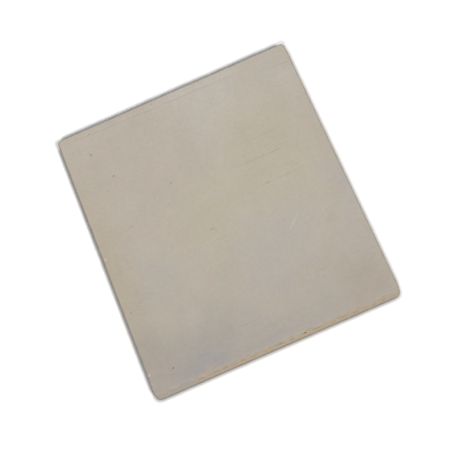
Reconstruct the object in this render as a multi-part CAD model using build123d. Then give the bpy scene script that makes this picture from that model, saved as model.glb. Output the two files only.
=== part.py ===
from build123d import *
import os

# Cordierite kiln shelf: one flat slab, pressed and fired in one piece, lying on its underside.
# The frame is right-handed with +Z up, in millimetres, and its origin is the middle of the underside.
# X runs along the press marks of the working face, and Y runs from the near side to the far side.

# Driving dimensions, mm
SHELF_WIDTH = 300.0
SHELF_DEPTH = 350.0
SHELF_THICKNESS = 18.0
CORNER_RADIUS = 5.0
WORKING_ARRIS_RADIUS = 2.0
UNDERSIDE_ARRIS_RADIUS = 1.5


def kiln_shelf() -> Part:
    """Slab with rounded plan corners, a soft arris round the working face and a tighter one below."""
    with BuildPart() as slab:
        with BuildSketch(Plane.XY):
            RectangleRounded(SHELF_WIDTH, SHELF_DEPTH, CORNER_RADIUS)
        extrude(amount=SHELF_THICKNESS)
        working_face = slab.faces().sort_by(Axis.Z)[-1]
        fillet(working_face.edges(), WORKING_ARRIS_RADIUS)
        underside = slab.faces().sort_by(Axis.Z)[0]
        fillet(underside.edges(), UNDERSIDE_ARRIS_RADIUS)
    return slab.part


NODES = {"kiln_shelf": kiln_shelf}

os.makedirs("parts", exist_ok=True)
for node_name, make_node in NODES.items():
    node = make_node()
    node.label = node_name
    export_step(node, f"parts/{node_name}.step")
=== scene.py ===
"""Dressed model of a cordierite kiln shelf: one flat fired slab, lying on a white floor.

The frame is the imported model's own: metres, +Z up, the origin in the middle of the underside.
X runs along the press marks of the working face, and Y runs from the near side to the far side.
Marks on the slab are placed in millimetres from the middle of the working face.
"""
import logging
import math
from dataclasses import dataclass
from enum import Enum

import bpy
import numpy as np
from mathutils import Matrix, Vector

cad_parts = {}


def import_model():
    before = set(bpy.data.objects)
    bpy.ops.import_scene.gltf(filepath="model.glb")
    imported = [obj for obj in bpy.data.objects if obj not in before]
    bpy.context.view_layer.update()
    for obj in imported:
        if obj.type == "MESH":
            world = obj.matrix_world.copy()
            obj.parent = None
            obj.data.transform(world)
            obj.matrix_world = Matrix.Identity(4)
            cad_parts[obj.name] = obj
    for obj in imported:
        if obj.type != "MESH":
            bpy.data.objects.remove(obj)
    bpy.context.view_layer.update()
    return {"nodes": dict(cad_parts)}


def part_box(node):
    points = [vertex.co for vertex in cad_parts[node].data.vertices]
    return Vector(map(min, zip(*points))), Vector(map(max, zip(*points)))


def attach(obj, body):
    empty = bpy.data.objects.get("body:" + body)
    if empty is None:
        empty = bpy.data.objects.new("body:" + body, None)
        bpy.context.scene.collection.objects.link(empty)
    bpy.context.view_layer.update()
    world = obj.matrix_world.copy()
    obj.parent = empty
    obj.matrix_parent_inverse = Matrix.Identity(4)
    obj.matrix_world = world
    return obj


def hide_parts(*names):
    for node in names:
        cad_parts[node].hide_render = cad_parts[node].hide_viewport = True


LOG = logging.getLogger("kiln_shelf")
MM = 0.001
NODE = "kiln_shelf"
BODY = "root"

Rgb = tuple[float, float, float]
Triple = tuple[float, float, float]

# Nearly all values of the shader's noise lie in this range.
NOISE_RANGE = (0.3, 0.7)
# Upward share of the normal where the face, the arris and the side begin and are full.
FACE_UP = (0.80, 0.98)
ARRIS_UP = (0.20, 0.55)
SIDE_UP = (0.75, 0.30)
WELD_GAP = 0.001 * MM


def linear(red: int, green: int, blue: int) -> Rgb:
    """Scene-linear colour of an 8-bit display colour, by the display's power curve.

    Args:
        red: Red from 0 to 255.
        green: Green from 0 to 255.
        blue: Blue from 0 to 255.

    Returns:
        The three linear values, from 0 to 1.
    """
    shares = np.array([red, green, blue]) / 255.0
    curved = np.where(shares <= 0.04045, shares / 12.92, ((shares + 0.055) / 1.055) ** 2.4)
    return tuple(float(value) for value in curved)


def soft_step(low: float, high: float, value: np.ndarray) -> np.ndarray:
    """Rise from 0 at low to 1 at high along the cubic 3t^2 - 2t^3.

    Args:
        low: Value where the rise starts.
        high: Value where the rise ends; below low for a fall.
        value: Values to look up.

    Returns:
        An array of the same shape, from 0 to 1.
    """
    t = np.clip((value - low) / (high - low), 0.0, 1.0)
    return t * t * (3.0 - 2.0 * t)


def cosine_noise(points: np.ndarray, wavelengths_mm: Triple, seed: int) -> np.ndarray:
    """Smooth noise of about unit spread: the sum of cosines with random directions and phases.

    Args:
        points: Places, n by 3, in metres.
        wavelengths_mm: Typical wave along X, Y and Z.
        seed: Seed of the directions and phases.

    Returns:
        One value for each place.
    """
    waves = 28
    dice = np.random.default_rng(seed)
    direction = dice.normal(size=(waves, 3))
    direction /= np.linalg.norm(direction, axis=1, keepdims=True)
    pace = dice.uniform(0.7, 1.5, (waves, 1))
    vectors = 2.0 * math.pi * pace * direction / (np.array(wavelengths_mm) * MM)
    phase = dice.uniform(0.0, 2.0 * math.pi, waves)
    return np.cos(points @ vectors.T + phase).sum(axis=1) * math.sqrt(2.0 / waves)


def drift(points: np.ndarray, wave_mm: float, seed: int) -> np.ndarray:
    """Two smooth noises of one wave.

    Args:
        points: Places, n by 3, in metres.
        wave_mm: Typical wave along every axis.
        seed: Seed of the first noise; the second takes the next one.

    Returns:
        A step along X and along Y for each place, n by 2.
    """
    waves = (wave_mm, wave_mm, wave_mm)
    return np.stack([cosine_noise(points, waves, seed), cosine_noise(points, waves, seed + 1)], 1)


def gathered(half: float, count: int, centres: list[float], spread: float, gain: float) -> np.ndarray:
    """Values from -half to half that stand closer together round each centre.

    The density is 1 plus gain times a sum of bell curves, and the values are equal shares of its integral.

    Args:
        half: Half of the range, in metres.
        count: Number of values.
        centres: Places where the values gather.
        spread: Half width of each bell.
        gain: How much denser the middle of a bell is.

    Returns:
        Rising values, with both ends exact.
    """
    samples = 6001
    fine = np.linspace(-half, half, samples)
    bells = np.exp(-(((fine[:, None] - np.array(centres)[None, :]) / spread) ** 2))
    density = 1.0 + gain * np.clip(bells.sum(axis=1), 0.0, 1.0)
    total = np.concatenate([[0.0], np.cumsum((density[1:] + density[:-1]) / 2.0)])
    return np.interp(np.linspace(0.0, total[-1], count), total, fine)


class Tone(Enum):
    """Tints and marks of the fired body, and painted shade on the arris and along the near side's foot,
    each kept as a vertex attribute of that name.
    """

    HAZE = "haze"
    OLIVE = "olive"
    ROSE = "rose"
    LILAC = "lilac"
    SLATE = "slate"
    UMBER = "umber"
    STAIN = "stain"
    RIM = "rim"
    SIDE = "side"
    # Bare grey where the tan is worn off; along the near side's foot it is partly painted shade.
    BARE_AND_SHADE = "bare"
    BROWN = "brown"
    # Painted shade: grey laid over the rounded arris.
    ARRIS_SHADE = "arris"
    SOOT = "soot"
    PALE = "pale"
    RUST = "rust"


@dataclass(frozen=True)
class Ripple:
    """Smooth uneven share: mean plus swing times a noise of waves in mm, held between low and high."""

    mean: float
    swing: float
    waves: Triple
    seed: int
    low: float = 0.0
    high: float = 1.0

    def at(self, points: np.ndarray) -> np.ndarray:
        """The share at each place."""
        share = self.mean + self.swing * cosine_noise(points, self.waves, self.seed)
        return np.clip(share, self.low, self.high)


@dataclass(frozen=True)
class Pit:
    """Round pore of the working face, in mm, with how dark its soot is."""

    x: float
    y: float
    radius: float
    depth: float
    soot: float

    def bowl(self, points: np.ndarray) -> np.ndarray:
        """Flat-bottomed bowl, exp(-(r / radius)^4), from 0 outside to 1 in the middle."""
        reach = np.hypot(points[:, 0] - self.x * MM, points[:, 1] - self.y * MM) / (self.radius * MM)
        return np.exp(-(reach**4))


@dataclass(frozen=True)
class Streak:
    """Straight drag mark or scratch of the working face, in mm, from one end to the other."""

    start: tuple[float, float]
    end: tuple[float, float]
    half_width: float
    depth: float
    tone: Tone
    strength: float
    fade: float = 9.0
    broken: float = 0.5
    seed: int = 1

    def trough(self, points: np.ndarray) -> np.ndarray:
        """Bell across the line from start to end, wavering a little, that fades in and out at its ends.

        Args:
            points: Places, n by 3, in metres.

        Returns:
            The share of the mark at each place, from 0 to 1.
        """
        first, last = np.array(self.start) * MM, np.array(self.end) * MM
        run = last - first
        length = float(np.hypot(*run))
        along = (points[:, :2] - first) @ run / length
        across = (points[:, 1] - first[1]) * run[0] / length - (points[:, 0] - first[0]) * run[1] / length
        across = across + 0.2 * MM * cosine_noise(points, (60.0, 60.0, 60.0), self.seed)
        gaps = Ripple(0.5, -0.6, (14.0, 40.0, 40.0), self.seed + 50).at(points)
        ends = soft_step(0.0, self.fade * MM, along) * soft_step(0.0, self.fade * MM, length - along)
        return np.exp(-((across / (self.half_width * MM)) ** 2)) * ends * (1.0 - self.broken * gaps)


@dataclass(frozen=True)
class Patch:
    """Soft cloud of one tone on the working face, in mm."""

    tone: Tone
    x: float
    y: float
    reach_x: float
    reach_y: float
    strength: float

    def cloud(self, points: np.ndarray) -> np.ndarray:
        """Bell over a squarish ellipse, exp(-|x / reach_x|^3 - |y / reach_y|^3), with a stirred border.

        Args:
            points: Places, n by 3, in metres.

        Returns:
            The strength of the tone at each place.
        """
        seed = int(abs(self.x) + 3 * abs(self.y))
        stir = 5.0 * MM * drift(points, 34.0, seed)
        fine = 1.6 * MM * drift(points, 9.0, seed + 2)
        reach = np.array([self.reach_x, self.reach_y]) * MM
        fully_stirred = 12.0 * MM
        share = np.minimum(1.0, reach / fully_stirred)
        gap = np.abs(points[:, :2] - np.array([self.x, self.y]) * MM + (stir + fine) * share) / reach
        return self.strength * np.exp(-(gap**3).sum(axis=1))


@dataclass(frozen=True)
class Wipe:
    """Pale curved band that a cloth or a pot's foot left on the working face, in mm."""

    bends: tuple[tuple[float, float], ...]
    half_width: float
    strength: float

    def band(self, points: np.ndarray) -> np.ndarray:
        """Bell over the distance to the nearest leg of the line through the bends.

        Args:
            points: Places, n by 3, in metres.

        Returns:
            The strength of the haze at each place.
        """
        places = points[:, :2] + 2.0 * MM * drift(points, 30.0, 71)
        first = np.array(self.bends[:-1]) * MM
        run = np.array(self.bends[1:]) * MM - first
        gap = places[:, None] - first[None]
        share = np.clip((gap * run).sum(-1) / (run * run).sum(-1), 0.0, 1.0)
        nearest = np.linalg.norm(gap - share[..., None] * run, axis=-1).min(axis=1)
        return self.strength * np.exp(-((nearest / (self.half_width * MM)) ** 2))


@dataclass(frozen=True)
class Chip:
    """Small flake off the arris or hole in a side, in mm, with how dark its soot is."""

    x: float
    y: float
    z: float
    reach: float
    depth: float
    soot: float = 0.0

    def scoop(self, points: np.ndarray) -> np.ndarray:
        """Paraboloid scoop, 1 - (r / reach)^2 inside reach and 0 outside."""
        gap = points - np.array([self.x, self.y, self.z]) * MM
        return np.clip(1.0 - (gap**2).sum(axis=1) / (self.reach * MM) ** 2, 0.0, 1.0)


class Nodes:
    """Shorthand for the shader nodes of one tree."""

    def __init__(self, tree: bpy.types.NodeTree) -> None:
        """Take an empty node tree and make its Object coordinates."""
        self.tree = tree
        self.place = self.add("ShaderNodeTexCoord").outputs["Object"]

    def add(self, kind: str, **settings: object) -> bpy.types.Node:
        """New node of a kind, with settings written to its properties.

        Args:
            kind: Blender's name of the node type.
            **settings: Property names and their values.

        Returns:
            The node.
        """
        node = self.tree.nodes.new(kind)
        for name, value in settings.items():
            setattr(node, name, value)
        return node

    def feed(self, socket: bpy.types.NodeSocket, value: object) -> None:
        """Link value into a socket, or write it there when it is a plain number or colour.

        Args:
            socket: Input to fill.
            value: Output socket, number or colour.
        """
        if isinstance(value, bpy.types.NodeSocket):
            self.tree.links.new(value, socket)
        elif isinstance(value, tuple) and len(value) == 3 and socket.type == "RGBA":
            socket.default_value = (*value, 1.0)
        else:
            socket.default_value = value

    def attribute(self, tone: Tone) -> bpy.types.NodeSocket:
        """The vertex attribute of a tone, as a number."""
        return self.add("ShaderNodeAttribute", attribute_name=tone.value).outputs["Fac"]

    def noise(self, wave_mm: float, detail: float = 2.0,
              stretch: Triple = (1.0, 1.0, 1.0)) -> bpy.types.NodeSocket:
        """Noise of a wave in mm on Object coordinates.

        Args:
            wave_mm: Size of one blotch.
            detail: Octaves of finer noise on top.
            stretch: How much longer a blotch is along each axis.

        Returns:
            The noise value, about 0.5 on average.
        """
        mapping = self.add("ShaderNodeMapping")
        self.feed(mapping.inputs["Vector"], self.place)
        mapping.inputs["Scale"].default_value = tuple(1.0 / share for share in stretch)
        node = self.add("ShaderNodeTexNoise")
        self.feed(node.inputs["Vector"], mapping.outputs["Vector"])
        self.feed(node.inputs["Scale"], 1.0 / (wave_mm * MM))
        self.feed(node.inputs["Detail"], detail)
        return node.outputs["Fac"]

    def mottle(self, wave_mm: float, detail: float, swing: float,
               stretch: Triple = (1.0, 1.0, 1.0)) -> bpy.types.NodeSocket:
        """Noise as a factor that swings evenly round 1.

        Args:
            wave_mm: Size of one blotch.
            detail: Octaves of finer noise on top.
            swing: How far the factor goes to either side of 1.
            stretch: How much longer a blotch is along each axis.

        Returns:
            The factor.
        """
        return self.span(self.noise(wave_mm, detail, stretch), *NOISE_RANGE, 1.0 - swing, 1.0 + swing)

    def specks(self, cell_mm: float, core: float, rim: float, bare: float,
               strength: float) -> bpy.types.NodeSocket:
        """Round specks at scattered points, in a share of the cells only.

        Args:
            cell_mm: Size of the cell that holds one point.
            core: Radius of the full speck, in cells.
            rim: Radius where it ends, in cells.
            bare: Share of cells without a speck.
            strength: Value inside a speck.

        Returns:
            The strength in specks and 0 elsewhere.
        """
        node = self.add("ShaderNodeTexVoronoi", feature="F1")
        self.feed(node.inputs["Vector"], self.place)
        self.feed(node.inputs["Scale"], 1.0 / (cell_mm * MM))
        dice = self.add("ShaderNodeSeparateColor")
        self.feed(dice.inputs["Color"], node.outputs["Color"])
        picked = self.span(dice.outputs["Red"], bare, min(bare + 0.3, 1.0), 0.0, 1.0)
        return self.times(self.span(node.outputs["Distance"], core, rim, strength, 0.0), picked)

    def span(self, value: object, low: float, high: float, to_low: float,
             to_high: float) -> bpy.types.NodeSocket:
        """Move a value from the range low to high to another range, clamped at its ends.

        Args:
            value: Number or socket to move.
            low: Start of the range it comes from.
            high: End of that range.
            to_low: Start of the range it goes to.
            to_high: End of that range.

        Returns:
            The moved value.
        """
        node = self.add("ShaderNodeMapRange", clamp=True)
        for name, number in zip(("Value", "From Min", "From Max", "To Min", "To Max"),
                                (value, low, high, to_low, to_high)):
            self.feed(node.inputs[name], number)
        return node.outputs["Result"]

    def joined(self, operation: str, first: object, second: object) -> bpy.types.NodeSocket:
        """Join two numbers by an operation of the Math node.

        Args:
            operation: Blender's name of the operation.
            first: First number or socket.
            second: Second number or socket.

        Returns:
            The result.
        """
        node = self.add("ShaderNodeMath", operation=operation)
        self.feed(node.inputs[0], first)
        self.feed(node.inputs[1], second)
        return node.outputs["Value"]

    def times(self, first: object, second: object) -> bpy.types.NodeSocket:
        """Product of two numbers."""
        return self.joined("MULTIPLY", first, second)

    def plus(self, first: object, second: object) -> bpy.types.NodeSocket:
        """Sum of two numbers."""
        return self.joined("ADD", first, second)

    def over(self, share: object, under: object, colour: object, mode: str = "MIX") -> bpy.types.NodeSocket:
        """Lay a colour over another by a share from 0 to 1.

        Args:
            share: How much of the upper colour shows.
            under: Lower colour.
            colour: Upper colour.
            mode: Blend type of the mix.

        Returns:
            The mixed colour.
        """
        node = self.add("ShaderNodeMix", data_type="RGBA", blend_type=mode, clamp_factor=True)
        self.feed(node.inputs[0], share)
        self.feed(node.inputs[6], under)
        self.feed(node.inputs[7], colour)
        return node.outputs[2]


@dataclass(frozen=True)
class FiredCordierite:
    """Bare fired cordierite: matte beige with a fine grain, tan on its cut sides and painted shade on its
    arris.
    """

    body: Rgb = linear(185, 176, 163)
    haze: Rgb = linear(192, 184, 173)
    olive: Rgb = linear(187, 179, 160)
    rose: Rgb = linear(186, 176, 164)
    lilac: Rgb = linear(181, 174, 167)
    slate: Rgb = linear(170, 162, 154)
    umber: Rgb = linear(174, 163, 149)
    stain: Rgb = linear(160, 158, 157)
    rim: Rgb = linear(180, 168, 148)
    side: Rgb = linear(169, 157, 140)
    # Grey where the tan is worn off; along the near side's foot it is partly painted shade.
    bare: Rgb = linear(159, 151, 141)
    side_dark: Rgb = linear(161, 142, 116)
    ochre: Rgb = linear(168, 155, 124)
    blush: Rgb = linear(178, 152, 131)
    brown: Rgb = linear(146, 119, 88)
    # Grey of the painted shade on the arris.
    arris: Rgb = linear(150, 144, 138)
    soot: Rgb = linear(70, 62, 54)
    pale: Rgb = linear(216, 212, 206)
    rust: Rgb = linear(150, 96, 60)
    grog: Rgb = linear(150, 140, 126)
    hues: tuple[tuple[float, Rgb, Rgb], ...] = (
        (5.5, (1.006, 1.0, 0.981), (0.994, 1.0, 1.019)),
        (15.0, (1.005, 1.0, 0.984), (0.995, 1.0, 1.016)),
        (4.5, (1.010, 0.995, 1.0), (0.990, 1.005, 1.0)),
        (13.0, (1.007, 0.996, 1.0), (0.993, 1.004, 1.0)),
    )
    roughness: float = 0.88
    specular: float = 0.2

    def material(self) -> bpy.types.Material:
        """Build the shader of the fired body.

        Returns:
            The new material.
        """
        made = bpy.data.materials.new("fired_cordierite")
        made.use_nodes = True
        tree = made.node_tree
        tree.nodes.clear()
        nodes = Nodes(tree)
        shader = nodes.add("ShaderNodeBsdfPrincipled")
        output = nodes.add("ShaderNodeOutputMaterial")
        tree.links.new(shader.outputs["BSDF"], output.inputs["Surface"])
        colour = self.marked(nodes, self.grained(nodes, self.clouded(nodes)))
        nodes.feed(shader.inputs["Base Color"], colour)
        nodes.feed(shader.inputs["Roughness"], self.roughness)
        nodes.feed(shader.inputs["Specular IOR Level"], self.specular)
        nodes.feed(shader.inputs["Normal"], self.grit(nodes))
        return made

    def clouded(self, nodes: Nodes) -> bpy.types.NodeSocket:
        """Body colour with its slow clouds: each tone's attribute lays its colour over the body.

        Args:
            nodes: Nodes of the material.

        Returns:
            The clouded colour.
        """
        stir = nodes.mottle(7.0, 3.0, 0.25)
        colour = self.body
        for tone, tint, stirred in ((Tone.OLIVE, self.olive, True), (Tone.ROSE, self.rose, True),
                                    (Tone.HAZE, self.haze, True), (Tone.LILAC, self.lilac, True),
                                    (Tone.SLATE, self.slate, False), (Tone.UMBER, self.umber, True),
                                    (Tone.STAIN, self.stain, True), (Tone.RIM, self.rim, True)):
            share = nodes.attribute(tone)
            colour = nodes.over(nodes.times(share, stir) if stirred else share, colour, tint)
        # The cut sides' tan, then the bare grey with painted shade in part at the near side's foot, then
        # the painted shade on the arris.
        for tone, tint in ((Tone.SIDE, self.cut_side(nodes)), (Tone.BARE_AND_SHADE, self.bare),
                           (Tone.ARRIS_SHADE, self.arris)):
            colour = nodes.over(nodes.attribute(tone), colour, tint)
        return colour

    def cut_side(self, nodes: Nodes) -> bpy.types.NodeSocket:
        """Colour of the cut sides: tan with darker, ochre and rosy blotches, and brown by its attribute.

        Args:
            nodes: Nodes of the material.

        Returns:
            The sides' colour.
        """
        colour = self.side
        for blotch, low, high, most, tint in (
                (nodes.noise(6.0, 3.0), 0.40, 0.65, 0.60, self.side_dark),
                (nodes.noise(3.6, 2.0, (1.0, 1.0, 1.6)), 0.48, 0.62, 0.80, self.ochre),
                (nodes.noise(4.4, 2.0), 0.54, 0.66, 0.75, self.blush)):
            colour = nodes.over(nodes.span(blotch, low, high, 0.0, most), colour, tint)
        return nodes.over(nodes.attribute(Tone.BROWN), colour, self.brown)

    def grained(self, nodes: Nodes, colour: bpy.types.NodeSocket) -> bpy.types.NodeSocket:
        """Colour with a warm and cool mottle, press streaks along X, sandy grain and scattered specks.

        Args:
            nodes: Nodes of the material.
            colour: Colour under the grain.

        Returns:
            The grained colour.
        """
        for wave, first, second in self.hues:
            share = nodes.span(nodes.noise(wave, 1.0), *NOISE_RANGE, 0.0, 1.0)
            colour = nodes.over(1.0, colour, nodes.over(share, first, second), "MULTIPLY")
        drag = nodes.mottle(1.8, 2.0, 0.012, (20.0, 1.0, 1.0))
        wiped = nodes.mottle(3.0, 2.0, 0.010, (1.0, 14.0, 1.0))
        sand = nodes.mottle(0.9, 3.0, 0.09)
        cloud = nodes.mottle(4.0, 4.0, 0.024)
        slow = nodes.mottle(36.0, 1.0, 0.018)
        shade = nodes.times(nodes.times(nodes.times(drag, wiped), nodes.times(sand, cloud)), slow)
        colour = nodes.over(1.0, colour, self.grey(nodes, shade), "MULTIPLY")
        colour = nodes.over(nodes.specks(2.6, 0.10, 0.18, 0.3, 0.45), colour, self.grog)
        return nodes.over(nodes.specks(8.0, 0.045, 0.09, 0.45, 0.28), colour, self.soot)

    def grey(self, nodes: Nodes, shade: bpy.types.NodeSocket) -> bpy.types.NodeSocket:
        """A number as an even grey of that value.

        Args:
            nodes: Nodes of the material.
            shade: The number.

        Returns:
            The grey.
        """
        joined = nodes.add("ShaderNodeCombineColor")
        for channel in ("Red", "Green", "Blue"):
            nodes.feed(joined.inputs[channel], shade)
        return joined.outputs["Color"]

    def marked(self, nodes: Nodes, colour: bpy.types.NodeSocket) -> bpy.types.NodeSocket:
        """Colour with soot in pits and drag marks, pale flakes and scratches, and rust specks.

        Args:
            nodes: Nodes of the material.
            colour: Colour under the marks.

        Returns:
            The marked colour.
        """
        for tone, tint in ((Tone.SOOT, self.soot), (Tone.PALE, self.pale), (Tone.RUST, self.rust)):
            colour = nodes.over(nodes.attribute(tone), colour, tint)
        return colour

    def grit(self, nodes: Nodes) -> bpy.types.NodeSocket:
        """Surface normal with a sandy grain, coarser and deeper on the cut sides.

        Args:
            nodes: Nodes of the material.

        Returns:
            The bumped normal.
        """
        fine = nodes.times(nodes.noise(0.6, 2.0), 0.03 * MM)
        coarse = nodes.times(nodes.times(nodes.noise(1.8, 3.0), nodes.attribute(Tone.SIDE)), 0.4 * MM)
        bump = nodes.add("ShaderNodeBump")
        bump.inputs["Distance"].default_value = 1.0
        nodes.feed(bump.inputs["Height"], nodes.plus(fine, coarse))
        return bump.outputs["Normal"]


@dataclass(frozen=True)
class WhiteFloor:
    """Plain white floor that keeps the shadows, deepest where the slab stands close to it."""

    bounce: float = 0.85
    white: float = 1.124
    reach: float = 6.2 * MM
    shut: float = 0.29
    open: float = 0.998
    lean: Triple = (0.32, 0.15, 0.0)

    def material(self) -> bpy.types.Material:
        """Build the floor's shader: seen directly it is white, and grey where the slab hides the sky.

        Returns:
            The new material.
        """
        made = bpy.data.materials.new("white_floor")
        made.use_nodes = True
        tree = made.node_tree
        tree.nodes.clear()
        nodes = Nodes(tree)
        plain = nodes.add("ShaderNodeBsdfDiffuse")
        nodes.feed(plain.inputs["Color"], (self.bounce,) * 3)
        sky = nodes.add("ShaderNodeAmbientOcclusion", samples=16)
        nodes.feed(sky.inputs["Distance"], self.reach)
        nodes.feed(sky.inputs["Normal"], self.leaning(nodes))
        seen = nodes.add("ShaderNodeBsdfDiffuse")
        shade = nodes.span(sky.outputs["AO"], self.shut, self.open, 0.0, self.white)
        nodes.feed(seen.inputs["Color"], shade)
        mix = nodes.add("ShaderNodeMixShader")
        nodes.feed(mix.inputs[0], direct_rays(nodes))
        tree.links.new(plain.outputs["BSDF"], mix.inputs[1])
        tree.links.new(seen.outputs["BSDF"], mix.inputs[2])
        output = nodes.add("ShaderNodeOutputMaterial")
        tree.links.new(mix.outputs["Shader"], output.inputs["Surface"])
        return made

    def leaning(self, nodes: Nodes) -> bpy.types.NodeSocket:
        """The floor's normal, leaned to the far right: the shade deepens on the left and near sides.

        Args:
            nodes: Nodes of the material.

        Returns:
            The leaned normal.
        """
        moved = nodes.add("ShaderNodeVectorMath", operation="ADD")
        nodes.feed(moved.inputs[0], nodes.add("ShaderNodeNewGeometry").outputs["Normal"])
        nodes.feed(moved.inputs[1], self.lean)
        unit = nodes.add("ShaderNodeVectorMath", operation="NORMALIZE")
        nodes.feed(unit.inputs[0], moved.outputs["Vector"])
        return unit.outputs["Vector"]


def direct_rays(nodes: Nodes) -> bpy.types.NodeSocket:
    """Tell the rays that are seen from the rays that carry light.

    Args:
        nodes: Nodes of a material or of the world.

    Returns:
        1 for rays from the camera, mirrors and glass, and 0 for the rest.
    """
    path = nodes.add("ShaderNodeLightPath")
    seen = nodes.plus(path.outputs["Is Camera Ray"], path.outputs["Is Glossy Ray"])
    return nodes.span(nodes.plus(seen, path.outputs["Is Transmission Ray"]), 0.0, 1.0, 0.0, 1.0)


PITS = (
    Pit(-117.2, 139.8, 1.1, 0.7, 0.48),
    Pit(-101.2, 101.5, 1.1, 0.7, 0.45),
    Pit(-41.2, 62.1, 0.9, 0.5, 0.40),
    Pit(-118.8, -151.7, 0.95, 0.7, 0.62),
    Pit(-114.0, 86.0, 0.8, 0.3, 0.32),
    Pit(-53.0, 38.2, 0.7, 0.3, 0.28),
    Pit(-26.2, 170.0, 0.8, 0.4, 0.45),
    Pit(-110.5, 166.6, 0.9, 0.3, 0.32),
    Pit(-140.8, -69.9, 0.8, 0.3, 0.40),
    Pit(45.0, 31.5, 0.8, 0.3, 0.26),
    Pit(65.0, 11.8, 0.8, 0.3, 0.30),
    Pit(96.5, 106.5, 0.8, 0.3, 0.24),
)

STREAKS = (
    Streak((-140.0, 165.7), (-20.0, 163.1), 0.55, 0.12, Tone.SOOT, 0.17, 16.0, 0.35, 3),
    Streak((-50.0, 163.5), (98.0, 162.4), 0.55, 0.12, Tone.SOOT, 0.17, 30.0, 0.35, 4),
    Streak((116.0, 149.2), (149.5, 148.8), 0.55, 0.12, Tone.SOOT, 0.20, 8.0, 0.4, 5),
    Streak((55.0, 71.6), (102.0, 71.2), 0.5, 0.10, Tone.SOOT, 0.18, 10.0, 0.6, 6),
    Streak((38.0, 46.4), (104.0, 46.2), 0.5, 0.10, Tone.SOOT, 0.20, 8.0, 0.6, 27),
    Streak((50.0, 11.9), (112.0, 12.1), 0.5, 0.10, Tone.SOOT, 0.18, 10.0, 0.7, 28),
    Streak((-26.0, -144.6), (22.0, -145.4), 0.5, 0.06, Tone.SOOT, 0.08, 12.0, 0.7, 9),
    Streak((-20.0, -150.8), (30.0, -151.2), 0.5, 0.06, Tone.SOOT, 0.08, 12.0, 0.7, 10),
    Streak((-22.0, -155.8), (12.0, -156.4), 0.5, 0.06, Tone.SOOT, 0.08, 10.0, 0.7, 12),
    Streak((-40.0, -138.4), (-2.0, -139.0), 0.5, 0.06, Tone.SOOT, 0.06, 12.0, 0.7, 17),
    Streak((63.0, -57.0), (84.5, -35.0), 0.8, 0.08, Tone.PALE, 0.32, 6.0, 0.4, 13),
    Streak((-21.5, -13.6), (-13.5, -14.4), 0.7, 0.05, Tone.RUST, 0.45, 3.5, 0.2, 14),
    Streak((-108.0, 30.2), (-100.0, 31.2), 0.6, 0.05, Tone.RUST, 0.40, 3.5, 0.2, 15),
    Streak((-149.0, -151.4), (-145.2, -147.6), 0.9, 0.15, Tone.PALE, 0.52, 1.2, 0.0, 18),
    Streak((-148.9, -158.2), (-147.6, -161.0), 0.8, 0.10, Tone.PALE, 0.36, 0.9, 0.0, 19),
    Streak((-148.9, -164.4), (-147.8, -167.4), 0.8, 0.10, Tone.PALE, 0.36, 0.9, 0.0, 20),
    Streak((-148.2, 4.2), (-143.6, 3.8), 1.3, 0.10, Tone.PALE, 0.34, 1.6, 0.0, 21),
)

PATCHES = (
    Patch(Tone.HAZE, 34.0, 152.0, 54.0, 50.0, 0.80),
    Patch(Tone.HAZE, 139.0, 122.0, 14.0, 26.0, 0.50),
    Patch(Tone.HAZE, 112.0, 140.0, 34.0, 40.0, 0.22),
    Patch(Tone.HAZE, -132.0, 154.0, 18.0, 14.0, 0.42),
    Patch(Tone.HAZE, -10.0, 165.0, 120.0, 9.0, 0.35),
    Patch(Tone.HAZE, 24.0, 88.0, 18.0, 24.0, 0.32),
    Patch(Tone.OLIVE, 72.0, 42.0, 64.0, 62.0, 0.60),
    Patch(Tone.OLIVE, -20.0, -2.0, 44.0, 44.0, 0.62),
    Patch(Tone.OLIVE, 86.0, 112.0, 16.0, 38.0, 0.50),
    Patch(Tone.ROSE, -85.0, 58.0, 52.0, 66.0, 0.85),
    Patch(Tone.LILAC, 44.0, -60.0, 46.0, 42.0, 0.56),
    Patch(Tone.LILAC, -100.0, -46.0, 34.0, 30.0, 0.45),
    Patch(Tone.LILAC, 141.0, -30.0, 14.0, 36.0, 0.80),
    Patch(Tone.LILAC, 14.0, -107.0, 22.0, 13.0, 0.62),
    Patch(Tone.LILAC, 128.0, -110.0, 18.0, 30.0, 0.38),
    # Slate patches make the face darker and greyer along the near side, most at its left end and in its two
    # near corners.
    Patch(Tone.SLATE, -106.0, -149.0, 82.0, 38.0, 0.60),
    Patch(Tone.SLATE, -144.0, -112.0, 26.0, 56.0, 0.40),
    Patch(Tone.SLATE, 40.0, -172.0, 70.0, 30.0, 0.22),
    Patch(Tone.SLATE, 0.0, -185.0, 220.0, 92.0, 0.38),
    Patch(Tone.SLATE, -142.0, -166.0, 16.0, 13.0, 0.26),
    Patch(Tone.SLATE, 143.0, -166.0, 14.0, 13.0, 0.20),
    Patch(Tone.UMBER, 122.0, -148.0, 30.0, 44.0, 0.60),
    Patch(Tone.UMBER, 116.0, -61.0, 7.0, 6.0, 0.30),
    Patch(Tone.STAIN, -84.0, -161.0, 28.0, 8.0, 0.66),
    Patch(Tone.STAIN, -62.0, -152.0, 16.0, 6.0, 0.16),
    Patch(Tone.STAIN, 0.0, -167.0, 30.0, 5.0, 0.30),
)

WIPES = (
    Wipe(((19.0, 66.0), (22.0, 20.0), (25.0, -12.0)), 8.0, 0.22),
    Wipe(((25.0, -8.0), (10.0, -21.0), (-10.0, -34.0), (-68.0, -47.0)), 4.0, 0.10),
)

CHIPS = (
    Chip(33.5, -175.0, 13.3, 1.6, 0.9, 1.0),
    Chip(-150.0, 2.4, 17.2, 2.6, 0.6),
    Chip(-150.0, -150.0, 17.4, 3.0, 0.6),
)

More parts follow.
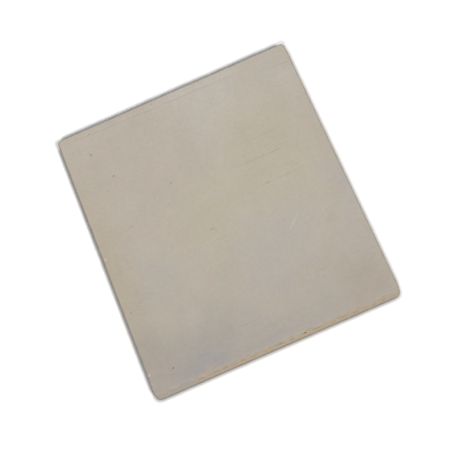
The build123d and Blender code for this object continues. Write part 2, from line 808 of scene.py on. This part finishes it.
HOLLOWS = Ripple(0.5, 0.25, (120.0, 90.0, 90.0), 21)
PRESS_LINES = Ripple(0.5, 0.3, (150.0, 7.0, 30.0), 22)
WORN_ARRIS = Ripple(0.35, 0.45, (16.0, 16.0, 16.0), 23, high=1.5)
SIDE_GRAIN = Ripple(0.5, 0.35, (6.0, 6.0, 6.0), 24, high=1.2)
SIDE_LUMPS = Ripple(0.5, 0.3, (26.0, 26.0, 14.0), 25)
# How unevenly the painted shade greys the arris.
ARRIS_SHADE_SPREAD = Ripple(0.35, 0.4, (12.0, 12.0, 12.0), 31)
BROWN_BLOTCHES = Ripple(0.3, 0.5, (10.0, 10.0, 8.0), 34)
BARE_STREAKS = Ripple(0.85, 0.25, (45.0, 45.0, 5.0), 35, low=0.4)


@dataclass(frozen=True)
class SideWear:
    """How the tan of the cut sides is browned, worn bare and greyed along the near side's foot, partly as
    painted shade, and how painted shade greys the arris: places in mm, shares from 0 to 1.
    """

    end_from: float = -92.0
    end_full: float = -104.0
    gap_x: float = -71.0
    gap_half: float = 6.5
    gap_share: float = 0.6
    # The near side's foot turns grey: partly its own colour, partly painted shade where it meets the floor.
    foot_from: float = 5.5
    foot_full: float = 2.5
    foot_grey_and_shade: float = 0.8
    corner_share: float = 0.85
    right_share: float = 0.8
    brown_below: float = 5.0
    brown_dip: float = 4.0
    dip_from: float = 40.0
    dip_full: float = 140.0
    brown_half: float = 1.7
    loose_half: float = 1.3
    waver: float = 1.0
    loose_waver: float = 3.0
    loose_loss: float = 0.6
    # Least share, and loss on the right, of the painted shade on the arris.
    shade_least: float = 0.6
    right_shade_loss: float = 0.6

    @staticmethod
    def near(normals: np.ndarray) -> np.ndarray:
        """1 where the surface faces the near side."""
        return soft_step(-0.4, -0.8, normals[:, 1])

    @staticmethod
    def right(normals: np.ndarray) -> np.ndarray:
        """1 where the surface faces the right side."""
        return soft_step(0.1, 0.4, normals[:, 0])

    def bare(self, points: np.ndarray, normals: np.ndarray) -> np.ndarray:
        """Share of the tan that is worn off.

        The near side is bare at its left end and in one gap, and grey along its foot, partly as painted
        shade where it meets the floor. The plan corners and the right arris are bare as well, and streaks
        of tan are left in all of these.

        Args:
            points: Points of the plain slab.
            normals: Their normals.

        Returns:
            The share at each point.
        """
        ragged = points[:, 0] + 3.0 * MM * cosine_noise(points, (7.0, 7.0, 7.0), 32)
        end = soft_step(self.end_from * MM, self.end_full * MM, ragged)
        gap = np.exp(-(((ragged - self.gap_x * MM) / (self.gap_half * MM)) ** 4))
        # Grey along the foot, partly painted shade where the side meets the floor.
        foot = self.foot_grey_and_shade * soft_step(self.foot_from * MM, self.foot_full * MM, points[:, 2])
        corner = self.corner_share * soft_step(0.10, 0.45, 2.0 * np.abs(normals[:, 0] * normals[:, 1]))
        right = self.right_share * self.right(normals) * soft_step(0.0, 0.3, normals[:, 2])
        near = self.near(normals) * np.maximum(end + self.gap_share * gap, foot)
        return np.maximum(np.maximum(near, corner), right) * BARE_STREAKS.at(points)

    def brown(self, points: np.ndarray, normals: np.ndarray, thickness: float) -> np.ndarray:
        """Share of brown: a blotchy bell round a wavering line below the arris.

        On the near side the line dips towards its right end. On the other sides it is looser and weaker.

        Args:
            points: Points of the plain slab.
            normals: Their normals.
            thickness: Height of the working face.

        Returns:
            The share at each point.
        """
        loose = 1.0 - self.near(normals)
        dip = self.brown_dip * MM * soft_step(self.dip_from * MM, self.dip_full * MM, points[:, 0])
        sway = (self.waver + self.loose_waver * loose) * MM * cosine_noise(points, (22.0, 22.0, 16.0), 33)
        line = thickness - (self.brown_below * MM + dip) + sway
        half = (self.brown_half + self.loose_half * loose) * MM
        bell = np.exp(-(((points[:, 2] - line) / half) ** 2))
        return bell * BROWN_BLOTCHES.at(points) * (1.0 - self.loose_loss * loose)

    def grey(self, points: np.ndarray, normals: np.ndarray) -> np.ndarray:
        """Share of painted shade that greys the arris, uneven along it and weaker on the right.

        Args:
            points: Points of the plain slab.
            normals: Their normals.

        Returns:
            The share at each point.
        """
        rounded = soft_step(0.4, 0.65, normals[:, 2]) * soft_step(0.995, 0.94, normals[:, 2])
        uneven = self.shade_least + (1.0 - self.shade_least) * ARRIS_SHADE_SPREAD.at(points)
        return rounded * uneven * (1.0 - self.right_shade_loss * self.right(normals))


@dataclass
class KilnShelf:
    """The fired slab: a flat working face, soft arrises, rounded plan corners and rough cut sides."""

    width: float
    depth: float
    thickness: float
    corner_radius: float = 5.0 * MM
    top_arris: float = 2.0 * MM
    low_arris: float = 1.5 * MM
    lines_x: int = 221
    lines_y: int = 269
    corner_steps: int = 8
    thinning: int = 4
    ring_scales: tuple[float, float] = (0.985, 0.96)
    hollow_depth: float = 0.10
    press_depth: float = 0.03
    worn_depth: float = 0.45
    grain_depth: float = 0.20
    lump_depth: float = 0.20
    rim_from: float = 46.0 * MM
    rim_full: float = 6.0 * MM
    rim_middle: float = -22.0 * MM
    rim_half: float = 80.0 * MM
    rim_least: float = 0.16
    rim_gain: float = 0.56

    def lines(self) -> tuple[np.ndarray, np.ndarray]:
        """X and Y of the grid lines of the flat inner rectangle, gathered at pits and drag marks.

        Returns:
            X of the columns and Y of the rows.
        """
        columns = [mark.x * MM for mark in (*PITS, *CHIPS) if mark.soot > 0.0]
        level = [mark for mark in STREAKS if abs(mark.start[1] - mark.end[1]) < 4.0]
        rows = [pit.y * MM for pit in PITS] + [(mark.start[1] + mark.end[1]) / 2 * MM for mark in level]
        return (gathered(self.width / 2 - self.corner_radius, self.lines_x, columns, 1.7 * MM, 2.6),
                gathered(self.depth / 2 - self.corner_radius, self.lines_y, rows, 1.6 * MM, 2.6))

    @staticmethod
    def runs(columns: np.ndarray, rows: np.ndarray) -> list[np.ndarray]:
        """Sides of the inner rectangle as points, near side first and anticlockwise from above.

        Args:
            columns: X of the grid lines.
            rows: Y of the grid lines.

        Returns:
            Four arrays of points, n by 2.
        """
        return [np.stack([columns, np.full_like(columns, rows[0])], 1),
                np.stack([np.full_like(rows, columns[-1]), rows], 1),
                np.stack([columns[::-1], np.full_like(columns, rows[-1])], 1),
                np.stack([np.full_like(rows, columns[0]), rows[::-1]], 1)]

    def path(self, columns: np.ndarray, rows: np.ndarray) -> tuple[np.ndarray, np.ndarray]:
        """Walk round the inner rectangle, near side first and anticlockwise from above.

        Each straight run follows the grid lines, and at each corner the outward normal turns a quarter.

        Args:
            columns: X of the grid lines.
            rows: Y of the grid lines.

        Returns:
            Anchor points and outward normals, both n by 2.
        """
        turn = np.linspace(0.0, math.pi / 2, self.corner_steps + 1)[1:-1]
        anchors, angles = [], []
        for side, run in enumerate(self.runs(columns, rows)):
            facing = (side - 1) * math.pi / 2
            anchors += [run, np.repeat(run[-1:], len(turn), axis=0)]
            angles += [np.full(len(run), facing), facing + turn]
        angle = np.concatenate(angles)
        return np.concatenate(anchors), np.stack([np.cos(angle), np.sin(angle)], 1)

    def section(self) -> tuple[np.ndarray, np.ndarray]:
        """Rim profile from the flat of the working face, over the arris and the side, to the underside.

        Returns:
            Points as outward offset and height, and normals as outward and upward shares.
        """
        upper = np.linspace(0.0, math.pi / 2, 7)
        lower = np.linspace(math.pi / 2, math.pi, 5)
        top_centre = (self.corner_radius - self.top_arris, self.thickness - self.top_arris)
        low_centre = (self.corner_radius - self.low_arris, self.low_arris)
        flat = np.linspace(0.0, top_centre[0], 4)[:-1]
        wall = np.linspace(top_centre[1], low_centre[1], 9)[1:-1]
        under = np.linspace(low_centre[0], 0.0, 4)[1:]
        offset = [flat, top_centre[0] + self.top_arris * np.sin(upper),
                  np.full_like(wall, self.corner_radius),
                  low_centre[0] + self.low_arris * np.sin(lower), under]
        height = [np.full_like(flat, self.thickness), top_centre[1] + self.top_arris * np.cos(upper),
                  wall, low_centre[1] + self.low_arris * np.cos(lower), np.zeros_like(under)]
        tilt = np.concatenate([np.zeros_like(flat), upper, np.full_like(wall, math.pi / 2), lower,
                               np.full_like(under, math.pi)])
        return (np.stack([np.concatenate(offset), np.concatenate(height)], 1),
                np.stack([np.sin(tilt), np.cos(tilt)], 1))

    def surface(self) -> tuple[np.ndarray, np.ndarray, list[list[int]]]:
        """Plain slab as points, normals and faces.

        The rim is the section carried along the path, the working face is a grid inside it, and the
        underside is a grid of every fourth line, joined to the rim by two rings that halve the points.

        Returns:
            Points and normals, n by 3, and faces as lists of point numbers.
        """
        columns, rows = self.lines()
        anchors, outward = self.path(columns, rows)
        points, leans = self.section()
        rim = np.empty((len(anchors), len(points), 3))
        rim[..., :2] = anchors[:, None] + outward[:, None] * points[None, :, :1]
        rim[..., 2] = points[None, :, 1]
        rim_normal = np.empty_like(rim)
        rim_normal[..., :2] = outward[:, None] * leans[None, :, :1]
        rim_normal[..., 2] = leans[None, :, 1]
        number = np.arange(rim.shape[0] * rim.shape[1]).reshape(rim.shape[:2])
        onward = np.roll(number, -1, axis=0)
        strip = [number[:, :-1], number[:, 1:], onward[:, 1:], onward[:, :-1]]
        quads = [np.stack(strip, -1).reshape(-1, 4)]
        clouds, normals, count = [rim.reshape(-1, 3)], [rim_normal.reshape(-1, 3)], number.size

        def grid(xs: np.ndarray, ys: np.ndarray, z: float, up: float) -> None:
            """Add a flat grid at one height.

            Args:
                xs: X of its lines.
                ys: Y of its lines.
                z: Its height.
                up: 1 to face up, -1 to face down.
            """
            nonlocal count
            x, y = np.meshgrid(xs, ys, indexing="ij")
            clouds.append(np.stack([x, y, np.full_like(x, z)], -1).reshape(-1, 3))
            normals.append(np.tile([0.0, 0.0, up], (x.size, 1)))
            index = count + np.arange(x.size).reshape(x.shape)
            cell = [index[:-1, :-1], index[1:, :-1], index[1:, 1:], index[:-1, 1:]]
            quads.append(np.stack(cell if up > 0 else cell[::-1], -1).reshape(-1, 4))
            count += x.size

        grid(columns, rows, self.thickness, 1.0)
        loop = np.concatenate([run[:-1] for run in self.runs(columns, rows)])
        triangles = []
        first_scale, last_scale = self.ring_scales
        for step, outer_scale, inner_scale in ((1, 1.0, first_scale), (2, first_scale, last_scale)):
            outer, inner = loop[::step] * outer_scale, loop[::2 * step] * inner_scale
            ring = np.concatenate([outer, inner])
            clouds.append(np.concatenate([ring, np.zeros((len(ring), 1))], 1))
            normals.append(np.tile([0.0, 0.0, -1.0], (len(ring), 1)))
            near = count + np.arange(len(outer))
            far = count + len(outer) + np.arange(len(inner))
            first, middle, last = near[::2], near[1::2], np.roll(near[::2], -1)
            after = np.roll(far, -1)
            triangles += [np.stack([first, far, middle], -1), np.stack([middle, far, after], -1),
                          np.stack([middle, after, last], -1)]
            count += len(ring)
        grid(columns[::self.thinning] * last_scale, rows[::self.thinning] * last_scale, 0.0, -1.0)
        return self.welded(np.concatenate(clouds), np.concatenate(normals), np.concatenate(quads),
                           np.concatenate(triangles))

    @staticmethod
    def welded(points: np.ndarray, normals: np.ndarray, quads: np.ndarray,
               triangles: np.ndarray) -> tuple[np.ndarray, np.ndarray, list[list[int]]]:
        """Join points that lie in one place, and turn quads that lose a side into triangles.

        Args:
            points: Points, n by 3, with doubles.
            normals: A normal for each point.
            quads: Faces of four point numbers.
            triangles: Faces of three point numbers.

        Returns:
            Single points, their normals, and all faces.
        """
        keys = np.round(points / WELD_GAP).astype(np.int64)
        _, first, new = np.unique(keys, axis=0, return_index=True, return_inverse=True)
        quads, triangles = new.reshape(-1)[quads], new.reshape(-1)[triangles]
        top_fan, low_fan = quads[:, 0] == quads[:, 3], quads[:, 1] == quads[:, 2]
        whole = quads[~(top_fan | low_fan)].tolist()
        fans = quads[top_fan][:, :3].tolist() + quads[low_fan][:, [0, 1, 3]].tolist()
        return points[first], normals[first], whole + fans + triangles.tolist()

    def shares(self, normals: np.ndarray) -> tuple[np.ndarray, np.ndarray, np.ndarray]:
        """How much each point belongs to the working face, the arris round it and the cut side.

        Args:
            normals: Normals of the plain slab.

        Returns:
            Three shares from 0 to 1 for each point.
        """
        upward = normals[:, 2]
        face = soft_step(*FACE_UP, upward)
        arris = soft_step(*ARRIS_UP, upward) * (1.0 - face)
        side = soft_step(*SIDE_UP, np.abs(upward))
        return face, arris, side

    def relief(self, points: np.ndarray, normals: np.ndarray) -> np.ndarray:
        """Depth of every mark below the plain slab, along the normal and never above it.

        Slow hollows and press lines on the face, pits, drag marks, worn stretches of the arris,
        chips, and a broken, grainy side, added together.

        Args:
            points: Points of the plain slab.
            normals: Their normals.

        Returns:
            Depth at each point, in metres.
        """
        face, arris, side = self.shares(normals)
        depth = face * (self.hollow_depth * HOLLOWS.at(points) + self.press_depth * PRESS_LINES.at(points))
        depth = depth + arris * self.worn_depth * WORN_ARRIS.at(points)
        rough = self.grain_depth * SIDE_GRAIN.at(points) + self.lump_depth * SIDE_LUMPS.at(points)
        depth = depth + side * rough
        for pit in PITS:
            depth = depth + face * pit.depth * pit.bowl(points)
        for mark in STREAKS:
            depth = depth + face * mark.depth * mark.trough(points)
        for chip in CHIPS:
            depth = depth + chip.depth * chip.scoop(points)
        return depth * MM

    def tones(self, points: np.ndarray, normals: np.ndarray) -> dict[Tone, np.ndarray]:
        """Strength of each tone at each point.

        Args:
            points: Points of the plain slab.
            normals: Their normals.

        Returns:
            Tone to an array from 0 to 1.
        """
        face, _, side = self.shares(normals)
        top = soft_step(0.2, 0.6, normals[:, 2])
        field = {tone: np.zeros(len(points)) for tone in Tone}
        for patch in PATCHES:
            field[patch.tone] += top * patch.cloud(points)
        for wipe in WIPES:
            field[Tone.HAZE] += face * wipe.band(points)
        for pit in PITS:
            field[Tone.SOOT] += face * pit.soot * pit.bowl(points)
        for mark in STREAKS:
            field[mark.tone] += top * mark.strength * mark.trough(points)
        for chip in CHIPS:
            field[Tone.SOOT] += chip.soot * soft_step(0.05, 0.5, chip.scoop(points))
        from_left = points[:, 0] + self.width / 2
        middle = np.exp(-(((points[:, 1] - self.rim_middle) / self.rim_half) ** 2))
        rim = soft_step(self.rim_from, self.rim_full, from_left) * (self.rim_least + self.rim_gain * middle)
        field[Tone.RIM] += top * rim
        wear, tan = SideWear(), soft_step(0.9, 0.55, np.abs(normals[:, 2]))
        field[Tone.SIDE] += tan
        # Worn bare grey, and partly painted shade along the near side's foot.
        field[Tone.BARE_AND_SHADE] += tan * wear.bare(points, normals)
        field[Tone.BROWN] += side * wear.brown(points, normals, self.thickness)
        # Painted shade on the arris.
        field[Tone.ARRIS_SHADE] += wear.grey(points, normals)
        return {tone: np.clip(values, 0.0, 1.0) for tone, values in field.items()}

    def build(self) -> bpy.types.Object:
        """Make the dressed slab and hang it on the model.

        Returns:
            The slab's object.
        """
        points, normals, faces = self.surface()
        mesh = bpy.data.meshes.new("fired_slab")
        mesh.from_pydata(points - normals * self.relief(points, normals)[:, None], [], faces)
        mesh.polygons.foreach_set("use_smooth", np.ones(len(faces), bool))
        for tone, values in self.tones(points, normals).items():
            layer = mesh.attributes.new(tone.value, "FLOAT", "POINT")
            layer.data.foreach_set("value", values.astype(np.float32))
        mesh.update()
        piece = bpy.data.objects.new("fired_slab", mesh)
        bpy.context.scene.collection.objects.link(piece)
        mesh.materials.append(FiredCordierite().material())
        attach(piece, BODY)
        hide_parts(NODE)
        return piece


@dataclass(frozen=True)
class Lamp:
    """Even soft lamp far away, with its angles in degrees."""

    name: str
    strength: float
    azimuth: float
    elevation: float
    spread: float = 10.5

    def hang(self) -> bpy.types.Object:
        """Hang the lamp and turn it to the middle of the floor.

        Returns:
            The lamp's object.
        """
        light = bpy.data.lights.new(self.name, "SUN")
        light.energy = self.strength
        light.angle = math.radians(self.spread)
        hung = bpy.data.objects.new(self.name, light)
        turn, rise = math.radians(self.azimuth), math.radians(self.elevation)
        away = Vector((math.cos(turn) * math.cos(rise), math.sin(turn) * math.cos(rise), math.sin(rise)))
        hung.location = away
        hung.rotation_mode = "QUATERNION"
        hung.rotation_quaternion = (-away).to_track_quat("-Z", "Y")
        bpy.context.scene.collection.objects.link(hung)
        return hung


LAMPS = (
    Lamp("key", 1.65, -66.0, 51.5),
    Lamp("fill", 1.12, -105.0, 48.5),
)


@dataclass
class Studio:
    """White floor, soft light and the camera."""

    floor_half: float = 4.0
    dome: float = 0.304
    lens: float = 120.0
    azimuth: float = 2.431
    elevation: float = 66.007
    distance: float = 1.742
    roll: float = 25.853
    aim: Triple = (-1.8 * MM, -16.3 * MM, 18.0 * MM)

    def floor(self) -> bpy.types.Object:
        """Lay the floor: a flat two by two grid at the height of the underside.

        Returns:
            The floor's object.
        """
        side = np.linspace(-self.floor_half, self.floor_half, 3)
        x, y = np.meshgrid(side, side, indexing="ij")
        index = np.arange(x.size).reshape(x.shape)
        cell = [index[:-1, :-1], index[1:, :-1], index[1:, 1:], index[:-1, 1:]]
        cells = np.stack(cell, -1).reshape(-1, 4)
        mesh = bpy.data.meshes.new("floor")
        mesh.from_pydata(np.stack([x, y, np.zeros_like(x)], -1).reshape(-1, 3), [], cells.tolist())
        mesh.materials.append(WhiteFloor().material())
        laid = bpy.data.objects.new("floor", mesh)
        bpy.context.scene.collection.objects.link(laid)
        return laid

    def sky(self) -> None:
        """White background to the camera, and an even dome of light to everything else."""
        world = bpy.data.worlds.new("dome")
        world.use_nodes = True
        world.node_tree.nodes.clear()
        nodes = Nodes(world.node_tree)
        background = nodes.add("ShaderNodeBackground")
        nodes.feed(background.inputs["Color"], (1.0, 1.0, 1.0))
        nodes.feed(background.inputs["Strength"], nodes.span(direct_rays(nodes), 0.0, 1.0, self.dome, 1.0))
        output = nodes.add("ShaderNodeOutputWorld")
        world.node_tree.links.new(background.outputs["Background"], output.inputs["Surface"])
        bpy.context.scene.world = world

    def camera(self) -> bpy.types.Object:
        """Set the camera: it looks down on the slab from its near side, rolled to the picture's turn.

        Returns:
            The camera's object.
        """
        turn, rise = math.radians(self.azimuth), math.radians(self.elevation)
        back = Vector((math.sin(turn) * math.cos(rise), -math.cos(turn) * math.cos(rise), math.sin(rise)))
        level = Vector((0.0, 0.0, 1.0)).cross(back).normalized()
        upward = back.cross(level)
        lean = math.radians(self.roll)
        right = level * math.cos(lean) - upward * math.sin(lean)
        top = upward * math.cos(lean) + level * math.sin(lean)
        place = Matrix((right, top, back)).transposed().to_4x4()
        place.translation = Vector(self.aim) + back * self.distance
        data = bpy.data.cameras.new("camera")
        data.lens = self.lens
        data.sensor_width = 36.0
        made = bpy.data.objects.new("camera", data)
        made.matrix_world = place
        bpy.context.scene.collection.objects.link(made)
        bpy.context.scene.camera = made
        return made

    def build(self) -> None:
        """Set the whole studio."""
        self.floor()
        self.sky()
        for lamp in LAMPS:
            lamp.hang()
        self.camera()
        bpy.context.scene.view_settings.view_transform = "Standard"


def main() -> None:
    """Load the frame, dress the slab and set the studio round it."""
    logging.basicConfig(level=logging.INFO, format="%(name)s: %(message)s")
    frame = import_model()
    low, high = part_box(NODE)
    size = high - low
    piece = KilnShelf(width=size.x, depth=size.y, thickness=size.z).build()
    LOG.info("%s stands for %s with %d faces", piece.name, sorted(frame["nodes"]), len(piece.data.polygons))
    Studio().build()


if __name__ == "__main__":
    main()
